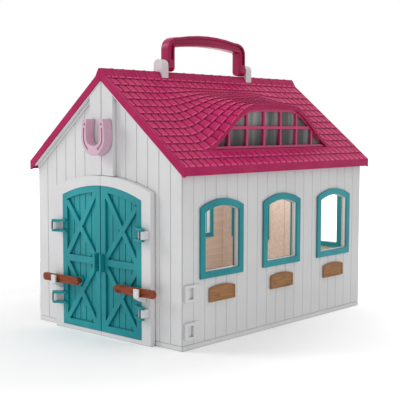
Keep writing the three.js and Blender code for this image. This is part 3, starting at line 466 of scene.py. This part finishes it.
def steel_wire():
    """Bright drawn steel: fine lines along the pin."""
    material, tree, shader = finish_named("drawn_steel_pin")
    lines = grain(tree, *PIN_LINES, ALONG_Z)
    link(tree, painted(tree, "#A9ADB0", (lines, "#C9CCCF")), shader, "Base Color")
    link(tree, add(tree, "ShaderNodeMapRange", [lines, *NOISE_SPAN, *PIN_ROUGHNESS]), shader, "Roughness")
    shader.inputs["Metallic"].default_value = 1.0
    return material


def direct_ray(tree):
    """One for what the camera, a reflection or clear plastic sees; nought for light that falls on things."""
    ray = add(tree, "ShaderNodeLightPath").node.outputs
    return worked_out(tree, {
        "camera": ray["Is Camera Ray"], "mirrored": ray["Is Glossy Ray"],
        "through": ray["Is Transmission Ray"]}, (
        ("seen", "MAXIMUM", "mirrored", "through"),
        ("seen", "MAXIMUM", "camera", "seen")))["seen"]


def studio_floor():
    """Matt white paper sweep: to the eye it runs into the white backdrop, and it keeps the shadow."""
    material, tree, shader = finish_named("white_paper_sweep")
    link(tree, painted(tree, "#FBFBFB", (mottle(tree, FLOOR_MOTTLE), "#FDFDFD")), shader, "Base Color")
    shader.inputs["Roughness"].default_value = FLOOR_ROUGHNESS
    place = add(tree, "ShaderNodeTexCoord", output="Object")
    away = add(tree, "ShaderNodeVectorMath", [place, FLOOR_HEART], "Value", operation="DISTANCE")
    glow = add(tree, "ShaderNodeMapRange", [away, FLOOR_NEAR, FLOOR_FAR, FLOOR_LIFT, 1.0])
    lift = worked_out(tree, {"glow": glow, "seen": direct_ray(tree)}, [("lift", "MULTIPLY", "glow", "seen")])
    shader.inputs["Emission Color"].default_value = srgb("#FFFFFF")
    link(tree, lift["lift"], shader, "Emission Strength")
    return material


# A moulded ABS finish gives a colour, the darker tone of its flow marks and drawn streaks, the colour of the
# painted shade in its creases, and a roughness
FINISHES = {
    "shell_white": moulded_abs("moulded_abs_white", "#EAEAEB", "#E5E5E6", "#98999C", 0.42, streak=0.1),
    "roof_pink": roof_bed_abs(),
    "handle_pink": moulded_abs("moulded_abs_handle_pink", "#B71C5E", "#A51652", "#6A0E36", 0.32,
                               direction=ALONG_Y, gloss=0.2),
    "door_teal": moulded_abs("moulded_abs_teal", "#1EA2AA", "#148C94", "#0A4C54", 0.40,
                             depth=0.00010, streak=0.4, gloss=0.25),
    "wood_brown": printed_wood("printed_wood_brown", "#A04A22", "#702F12", "#45200E", ALONG_X, 0.0010, 0.012),
    "lining_beige": printed_wood("printed_wood_beige", "#E8DDCB", "#DCCFBA", "#CBB79E", ALONG_Y, 0.0022, 0.05,
                                 knots=0.15, depth=0.00003),
    "shoe_lilac": moulded_abs("moulded_abs_lilac", "#E9C3D4", "#DBB1C6", "#94647E", 0.36),
    "smoked_pane": smoked_glazing(),
    "pin_steel": steel_wire(),
}
OWN_FINISHES = {
    "name_plate": printed_wood("printed_wood_plate", "#B08052", "#9A6C42", "#7C5030", ALONG_Y, 0.0012, 0.016),
    # painted light: a brighter pink than the other pink mouldings, so the frame looks lit where it sits in
    # the brow's shade
    "dormer_frame": moulded_abs("moulded_abs_glazing_pink_painted_light", "#CE3272", "#C22A69", "#7C0E3E", 0.36, gloss=0.3),
}


# Meshes and objects
def placed(name, data):
    """A new object in the scene."""
    item = bpy.data.objects.new(name, data)
    bpy.context.scene.collection.objects.link(item)
    return item


def finished_mesh(piece):
    """The piece with its modifiers applied, as a plain mesh."""
    evaluated = piece.evaluated_get(bpy.context.evaluated_depsgraph_get())
    mesh = bpy.data.meshes.new_from_object(evaluated)
    piece.modifiers.clear()
    piece.data = mesh
    return mesh


def smooth_by_angle(mesh, angle):
    for face in mesh.polygons:
        face.use_smooth = True
    mesh.set_sharp_from_angle(angle=angle)


def add_closed(shape, rings):
    """Adds a closed solid: rings of corners, each joined to the next, with both ends capped."""
    rings = [[shape.verts.new(corner) for corner in ring] for ring in rings]
    for low, high in zip(rings, rings[1:]):
        for k in range(len(low)):
            nxt = (k + 1) % len(low)
            shape.faces.new((low[k], low[nxt], high[nxt], high[k]))
    shape.faces.new(rings[-1])
    shape.faces.new(list(reversed(rings[0])))


def made_mesh(shape, name):
    """A mesh from what was shaped, with its faces outwards."""
    bmesh.ops.recalc_face_normals(shape, faces=shape.faces)
    mesh = bpy.data.meshes.new(name)
    shape.to_mesh(mesh)
    shape.free()
    return mesh


# Pieces from the solids, with their edges rounded
def rounded_copy(node, radius, finish):
    """A copy of a solid with its edges rounded; it stands for the solid."""
    work = bmesh.new()
    work.from_mesh(frame["nodes"][node].data)
    bmesh.ops.remove_doubles(work, verts=work.verts, dist=WELD)
    bmesh.ops.dissolve_degenerate(work, edges=work.edges, dist=SLIVER)
    mesh = bpy.data.meshes.new("rounded_" + node)
    work.to_mesh(mesh)
    work.free()
    mesh.materials.append(finish)
    piece = placed("rounded_" + node, mesh)
    bevel = piece.modifiers.new("edges", "BEVEL")
    bevel.width = radius
    bevel.segments = EDGE_SEGMENTS
    bevel.limit_method = "ANGLE"
    bevel.angle_limit = EDGE_ANGLE
    bevel.miter_outer = "MITER_ARC"
    smooth_by_angle(finished_mesh(piece), EDGE_ANGLE)
    normals = piece.modifiers.new("normals", "WEIGHTED_NORMAL")
    normals.keep_sharp = True
    finished_mesh(piece)
    return piece


def body_with(node):
    return next(body for body, members in frame["record"]["behaviour"]["bodies"].items() if node in members)


def dress_solids():
    """Gives each solid its finish, and a copy with rounded edges where it has a radius."""
    for part in frame["record"]["subparts"]:
        node, slot = part["node"], part["material_slot"]
        finish = next((look for stem, look in OWN_FINISHES.items() if node.startswith(stem)), FINISHES[slot])
        radius = next((size for stem, size in EDGE_RADIUS.items() if node.startswith(stem)), None)
        if radius is None:
            frame["nodes"][node].material_slots[0].material = finish
            continue
        piece = rounded_copy(node, radius, finish)
        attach(piece, body_with(node))
        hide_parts(node)


# Pieces that both halves of the case have
def mirrored_piece(piece, name):
    """The same piece for the other half of the case."""
    mesh = piece.data.copy()
    for vertex in mesh.vertices:
        vertex.co.x = -vertex.co.x
    mesh.flip_normals()
    return placed(name, mesh)


def seat_on_halves(right, left):
    """Seats a piece and its mirror image on their halves."""
    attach(right, "right_half")
    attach(left, "left_half")


# Node trees that set out repeated pieces
def begin_tree(name, shape, counts, sizes, result):
    """A new tree with one output and named inputs: a shape, whole numbers and sizes. Gives the tree and,
    by name, what it is given and the index of each point."""
    tree = bpy.data.node_groups.new(name, "GeometryNodeTree")
    tree.interface.new_socket(shape, in_out="INPUT", socket_type="NodeSocketGeometry")
    for names, kind in ((counts, "NodeSocketInt"), (sizes, "NodeSocketFloat")):
        for size in names:
            tree.interface.new_socket(size, in_out="INPUT", socket_type=kind)
    tree.interface.new_socket(result, in_out="OUTPUT", socket_type="NodeSocketGeometry")
    given = {socket.name: socket for socket in add(tree, "NodeGroupInput").node.outputs}
    given["index"] = add(tree, "GeometryNodeInputIndex")
    return tree, given


def end_tree(tree, shape, finish, result):
    """Makes the repeated pieces real and gives them their finish."""
    real = add(tree, "GeometryNodeRealizeInstances", {"Geometry": shape})
    finished = add(tree, "GeometryNodeSetMaterial", {"Geometry": real, "Material": finish})
    add(tree, "NodeGroupOutput", {result: finished})
    return tree


def marked(tree, shape, marks):
    """The shape with a value stored at each of its points under each name."""
    for name, value in marks.items():
        shape = add(tree, "GeometryNodeStoreNamedAttribute", {
            "Geometry": shape, "Name": name, "Value": value}, data_type="FLOAT", domain="POINT")
    return shape


def grown(name, mesh, tree, sizes):
    """The piece that a node tree grows from a mesh, as a plain mesh."""
    piece = placed(name, mesh)
    modifier = piece.modifiers.new(name, "NODES")
    modifier.node_group = tree
    for socket in tree.interface.items_tree:
        if socket.name in sizes and socket.in_out == "INPUT":
            modifier[socket.identifier] = sizes[socket.name]
    finished_mesh(piece)
    return piece


# Roof tiles
def tile_mesh():
    """One tile in shares of its own size: x down the slope, y across, z through; lower corners rounded."""
    half = 0.5 - TILE_GAP_SHARE / 2
    corner = TILE_CORNER_SHARE
    outline = [(0.0, -half), (1.0 - corner, -half)]
    for k in range(1, TILE_CORNER_STEPS + 1):
        turn = k * math.pi / (2 * TILE_CORNER_STEPS)
        outline.append((1.0 - corner + corner * math.sin(turn), -half + corner * (1 - math.cos(turn))))
    outline += [(x, -y) for x, y in reversed(outline)]
    rings = []
    for height, inset in ((TILE_FOOT, 0.0), (TILE_SHOULDER, 0.0), (1.0, TILE_EDGE_SHARE)):
        rings.append([
            (min(x, 1.0 - inset) if x > 0.5 else x, max(-half + inset, min(half - inset, y)), height)
            for x, y in outline])
    shape = bmesh.new()
    add_closed(shape, rings)
    return made_mesh(shape, "roof_tile")


def roof_tile_tree(finish):
    """Tiles set out in staggered courses, then laid on the roof surface with its eyebrow dormer."""
    tree, given = begin_tree(
        "roof_tile_courses", "Tile", ("Courses", "Columns", "Dormer courses", "Seed"),
        ("Pitch", "Field half", "Ridge height", "Fall", "Step", "Proud", "Thickness", "Centre", "Reach",
         "Dormer rise", "Dormer flat", "Dormer half", "Dormer head", "Dormer swell"), "Tiles")

    spot = worked_out(tree, given, (
        ("row tiles", "ADD", "Columns", 1.0),
        ("all tiles", "MULTIPLY", "Courses", "row tiles"),
        ("course", "ADD", "index", 0.5),
        ("course", "DIVIDE", "course", "row tiles"),
        ("course", "FLOOR", "course"),
        ("passed", "MULTIPLY", "course", "row tiles"),
        ("column", "SUBTRACT", "index", "passed"),
        ("stagger", "MODULO", "course", 2.0),
        ("stagger", "MULTIPLY", "stagger", 0.5),
        ("across", "SUBTRACT", "column", "stagger"),
        ("half row", "DIVIDE", "Columns", 2.0),
        ("across", "SUBTRACT", "across", "half row")))
    place = add(tree, "ShaderNodeCombineXYZ", {"X": spot["course"], "Y": spot["across"]})
    points = add(tree, "GeometryNodePoints", {"Count": spot["all tiles"], "Position": place})
    tone = add(tree, "FunctionNodeRandomValue", {"Seed": given["Seed"]}, 1, data_type="FLOAT")
    points = marked(tree, points, {
        "tile_course": spot["course"], "tile_across": spot["across"], "tile_tone": tone})

    axes = add(tree, "ShaderNodeSeparateXYZ", [add(tree, "GeometryNodeInputPosition")]).node.outputs
    own_course, own_middle = [
        add(tree, "GeometryNodeInputNamedAttribute", {"Name": name}, data_type="FLOAT")
        for name in ("tile_course", "tile_across")]
    known = worked_out(tree, {
        **given, "x": axes["X"], "y": axes["Y"], "z": axes["Z"],
        "own course": own_course, "own middle": own_middle}, (
        ("row end", "DIVIDE", "Columns", 2.0),
        ("row end", "ADD", "row end", TILE_OVERHANG_SHARE),
        ("from middle", "ABSOLUTE", "y"),
        ("inside", "LESS_THAN", "from middle", "row end"),
        ("down", "SUBTRACT", "x", "own course"),
        ("side", "SUBTRACT", "y", "own middle"),
        ("side", "ABSOLUTE", "side")))
    tiles = add(tree, "GeometryNodeInstanceOnPoints", {
        "Points": points, "Selection": known["inside"], "Instance": given["Tile"]})
    tiles = add(tree, "GeometryNodeRealizeInstances", {"Geometry": tiles})
    tiles = marked(tree, tiles, {"tile_down": known["down"], "tile_side": known["side"]})

    roof = worked_out(tree, known, (
        ("out", "MULTIPLY", "x", "Pitch"),
        ("out", "MINIMUM", "out", "Reach"),
        ("width", "MULTIPLY", "Field half", 2.0),
        ("width", "DIVIDE", "width", "Columns"),
        ("along", "MULTIPLY", "y", "width"),
        ("along", "MINIMUM", "along", "Field half"),
        ("far end", "MULTIPLY", "Field half", -1.0),
        ("along", "MAXIMUM", "along", "far end"),
        ("brow", "MULTIPLY", "Dormer courses", "Pitch"),
        ("whole climb", "SUBTRACT", "brow", "Dormer head"),
        ("climb", "SUBTRACT", "out", "Dormer head"),
        ("climb", "DIVIDE", "climb", "whole climb"),
        ("climb", "MAXIMUM", "climb", 0.0),
        ("swell", "POWER", "climb", "Dormer swell"),
        ("swell", "MULTIPLY", "swell", "Dormer rise"),
        ("last raised", "SUBTRACT", "Dormer courses", 0.5),
        ("raised", "LESS_THAN", "own course", "last raised"),
        ("swell", "MULTIPLY", "swell", "raised"),
        ("flank", "SUBTRACT", "Dormer half", "Dormer flat"),
        ("flank share", "ABSOLUTE", "along"),
        ("flank share", "SUBTRACT", "flank share", "Dormer flat"),
        ("flank share", "DIVIDE", "flank share", "flank"),
        ("flank share", "MAXIMUM", "flank share", 0.0),
        ("flank share", "MINIMUM", "flank share", 1.0),
        ("bell", "MULTIPLY", "flank share", math.pi),
        ("bell", "COSINE", "bell"),
        ("bell", "MULTIPLY_ADD", "bell", 0.5, 0.5),
        ("fallen", "MULTIPLY", "out", "Fall"),
        ("height", "SUBTRACT", "Ridge height", "fallen"),
        ("height", "MULTIPLY_ADD", "swell", "bell", "height"),
        ("lap", "SUBTRACT", "down", 1.0),
        ("lap", "MULTIPLY", "Step", "lap"),
        ("lap", "ADD", "lap", "Proud"),
        ("height", "ADD", "height", "lap"),
        ("height", "MULTIPLY_ADD", "z", "Thickness", "height"),
        ("along", "ADD", "along", "Centre")))
    place = add(tree, "ShaderNodeCombineXYZ", {"X": roof["out"], "Y": roof["along"], "Z": roof["height"]})
    tiles = add(tree, "GeometryNodeSetPosition", {"Geometry": tiles, "Position": place})
    tiles = add(tree, "GeometryNodeMergeByDistance", {"Geometry": tiles, "Distance": TILE_WELD})
    return end_tree(tree, tiles, finish, "Tiles")


def roof_tiles():
    """The tiles of both roof halves."""
    right = grown("roof_tiles_right", tile_mesh(), roof_tile_tree(roof_tile_abs()), {
        "Courses": COURSES, "Columns": TILE_COLUMNS, "Dormer courses": DORMER_COURSES, "Seed": TILE_SEED,
        "Pitch": COURSE_PITCH, "Field half": TILE_FIELD_HALF, "Ridge height": RIDGE_HEIGHT,
        "Fall": ROOF_FALL, "Step": COURSE_STEP, "Proud": COURSE_PROUD, "Thickness": TILE_THICKNESS,
        "Centre": FRONT_SHIFT, "Reach": ROOF_HALF_WIDTH - TILE_SETBACK, "Dormer rise": DORMER_RISE,
        "Dormer flat": DORMER_FLAT_HALF, "Dormer half": DORMER_HALF, "Dormer head": DORMER_HEAD,
        "Dormer swell": DORMER_SWELL})
    smooth_by_angle(right.data, EDGE_ANGLE)
    left = mirrored_piece(right, "roof_tiles_left")
    seat_on_halves(right, left)


# Dormer
def brow_height(out, along):
    """Height of the roof over a place on the dormer."""
    side = min(max((abs(along) - DORMER_FLAT_HALF) / (DORMER_HALF - DORMER_FLAT_HALF), 0.0), 1.0)
    climb = ((out - DORMER_HEAD) / (BROW - DORMER_HEAD)) ** DORMER_SWELL
    return RIDGE_HEIGHT - ROOF_FALL * out + DORMER_RISE * climb * (0.5 + 0.5 * math.cos(math.pi * side))


def glazing_rim_ends():
    """The ends of the glazing rim, where it runs out between brow and sill, and the stops behind the pane.
    Each is a plate that stands across the slope."""
    step = (RIM_END_STOP - RIM_END_START) / RIM_END_STEPS
    steps = [RIM_END_START + k * step for k in range(RIM_END_STEPS + 1)]
    rim = [(y, brow_height(GLAZING_FACE, y) - BROW_DROP) for y in steps]
    rim += [(RIM_END_STOP, SILL_TOP), (RIM_END_TURN, SILL_TOP), (RIM_END_TURN, SILL_TOP + GLAZING_RIM)]
    stop = [(y, brow_height(PANE_BACK, y) - BROW_DROP) for y in steps]
    stop += [(RIM_END_STOP, SILL_TOP), (RIM_END_START, SILL_TOP)]
    shape = bmesh.new()
    for sign in (-1, 1):
        for face, depth, outline in ((GLAZING_FACE, GLAZING_DEPTH, rim), (PANE_BACK, STOP_DEPTH, stop)):
            add_closed(shape, [
                [(out, FRONT_SHIFT + sign * y, z) for y, z in outline] for out in (face - depth, face)])
    mesh = made_mesh(shape, "glazing_rim_ends")
    mesh.materials.append(OWN_FINISHES["dormer_frame"])
    right = placed("glazing_rim_ends_right", mesh)
    left = mirrored_piece(right, "glazing_rim_ends_left")
    seat_on_halves(right, left)


# Ridge
def ridge_lip_mesh():
    """A raised band over one half of the ridge cap, a lip wide."""
    top = RIDGE_CAP_HEIGHT + RIDGE_LIP_PROUD
    side = RIDGE_CAP_HALF + RIDGE_LIP_PROUD
    base = RIDGE_LIP_FOOT - RIDGE_LIP_SKIRT
    profile = [
        (SEAM, top), (RIDGE_CAP_FLAT, top), (side, RIDGE_LIP_FOOT + RIDGE_LIP_PROUD), (side, base),
        (SEAM, base)]
    shape = bmesh.new()
    add_closed(shape, [[(x, y, z) for x, z in profile] for y in (-RIDGE_LIP_WIDTH / 2, RIDGE_LIP_WIDTH / 2)])
    return made_mesh(shape, "ridge_lip")


def ridge_lip_tree(finish):
    """Lips set out at even steps along the ridge, but none where the handle's arms swing down over it."""
    tree, given = begin_tree(
        "ridge_tile_lips", "Lip", ("Count",),
        ("Start", "Pitch", "Handle middle", "Handle near", "Handle far"), "Lips")
    spot = worked_out(tree, given, (
        ("along", "MULTIPLY_ADD", "index", "Pitch", "Start"),
        ("reach", "SUBTRACT", "along", "Handle middle"),
        ("reach", "ABSOLUTE", "reach"),
        ("between arms", "LESS_THAN", "reach", "Handle near"),
        ("past arms", "GREATER_THAN", "reach", "Handle far"),
        ("clear", "MAXIMUM", "between arms", "past arms")))
    place = add(tree, "ShaderNodeCombineXYZ", {"Y": spot["along"]})
    points = add(tree, "GeometryNodePoints", {"Count": given["Count"], "Position": place})
    lips = add(tree, "GeometryNodeInstanceOnPoints", {
        "Points": points, "Selection": spot["clear"], "Instance": given["Lip"]})
    return end_tree(tree, lips, finish, "Lips")


def ridge_lips():
    """The lips of the ridge tiles on both halves."""
    pitch = 2 * VERGE_FACE / RIDGE_TILES
    # the third colour is the painted shade in the creases of the ridge tiles
    finish = moulded_abs("moulded_abs_ridge_pink", "#C02A66", "#B5215D", "#740C3A", 0.36, gloss=0.28)
    right = grown("ridge_lips_right", ridge_lip_mesh(), ridge_lip_tree(finish), {
        "Count": RIDGE_TILES - 1, "Start": FRONT_SHIFT - VERGE_FACE + pitch, "Pitch": pitch,
        "Handle middle": HANDLE_MIDDLE, "Handle near": HANDLE_NEAR, "Handle far": HANDLE_FAR})
    left = mirrored_piece(right, "ridge_lips_left")
    seat_on_halves(right, left)


# Studio
def studio():
    """A paper sweep, a white backdrop, soft lamps around the stable and small ones inside it."""
    corners = [(x * FLOOR_HALF, y * FLOOR_HALF, 0) for x, y in ((-1, -1), (1, -1), (1, 1), (-1, 1))]
    mesh = bpy.data.meshes.new("floor")
    mesh.from_pydata(corners, [], [(0, 1, 2, 3)])
    mesh.materials.append(studio_floor())
    floor = placed("floor", mesh)

    world = bpy.data.worlds.new("studio")
    world.use_nodes = True
    tree = world.node_tree
    backdrop = tree.nodes["Background"]
    backdrop.inputs["Color"].default_value = srgb("#FFFFFF")
    strength = add(tree, "ShaderNodeMapRange", [direct_ray(tree), 0.0, 1.0, BACKDROP_LIGHT, 1.0])
    link(tree, strength, backdrop, "Strength")
    bpy.context.scene.world = world

    for name, place, power, width in LAMPS:
        lamp = bpy.data.lights.new(name, "AREA")
        lamp.energy = power
        lamp.size = width
        holder = placed(name, lamp)
        holder.location = place
        holder.rotation_euler = (Vector(LAMP_AIM) - Vector(place)).to_track_quat("-Z", "Y").to_euler()

    room = bpy.data.lights.new("room", "POINT")
    room.energy = ROOM_POWER
    room.shadow_soft_size = ROOM_LAMP_RADIUS
    for place in ROOM_LAMPS:
        holder = placed("room", room)
        holder.location = place
        holder.visible_camera = False


def photo_camera():
    """The camera at the photograph's place and angle."""
    lens = bpy.data.cameras.new("photo_camera")
    lens.lens = CAMERA_LENS_MM
    lens.sensor_width = CAMERA_SENSOR_MM
    lens.clip_start = CAMERA_CLIP
    camera = placed("photo_camera", lens)
    camera.location = CAMERA_PLACE
    aim = (Vector(CAMERA_TARGET) - Vector(CAMERA_PLACE)).to_track_quat("-Z", "Y")
    camera.rotation_euler = (aim @ Quaternion((0, 0, 1), CAMERA_ROLL)).to_euler()
    bpy.context.scene.camera = camera


dress_solids()
roof_tiles()
glazing_rim_ends()
ridge_lips()
studio()
photo_camera()
bpy.context.scene.view_settings.view_transform = "Standard"
